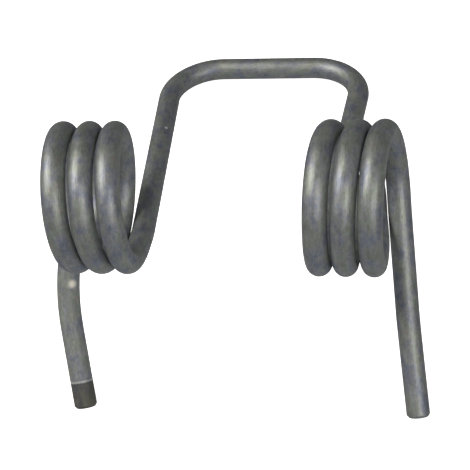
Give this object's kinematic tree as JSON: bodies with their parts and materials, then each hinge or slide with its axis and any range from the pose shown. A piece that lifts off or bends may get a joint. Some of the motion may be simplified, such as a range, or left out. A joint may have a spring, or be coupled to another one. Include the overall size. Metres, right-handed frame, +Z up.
{
  "type": "double torsion spring",
  "caption": "Double torsion spring of round steel wire: two close-wound coils of opposite hand joined by a U-shaped bail, with a free leg on each outer end.",
  "frame": {"origin": "middle of the spring's bounding box, on the surface that it lies on", "axes": "+X along the two coils, from the kinked leg's coil to the other coil; +Y from the leg tips to the bail's crossbar; +Z up, away from the surface that the crossbar and both leg tips touch"},
  "size_m": [0.0486, 0.0552, 0.0331],
  "materials": {
    "spring_steel": "dull grey, phosphated spring steel wire with drawing marks, satin"
  },
  "bodies": {
    "root": {"torsion_spring": "spring_steel"}
  },
  "joints": []
}
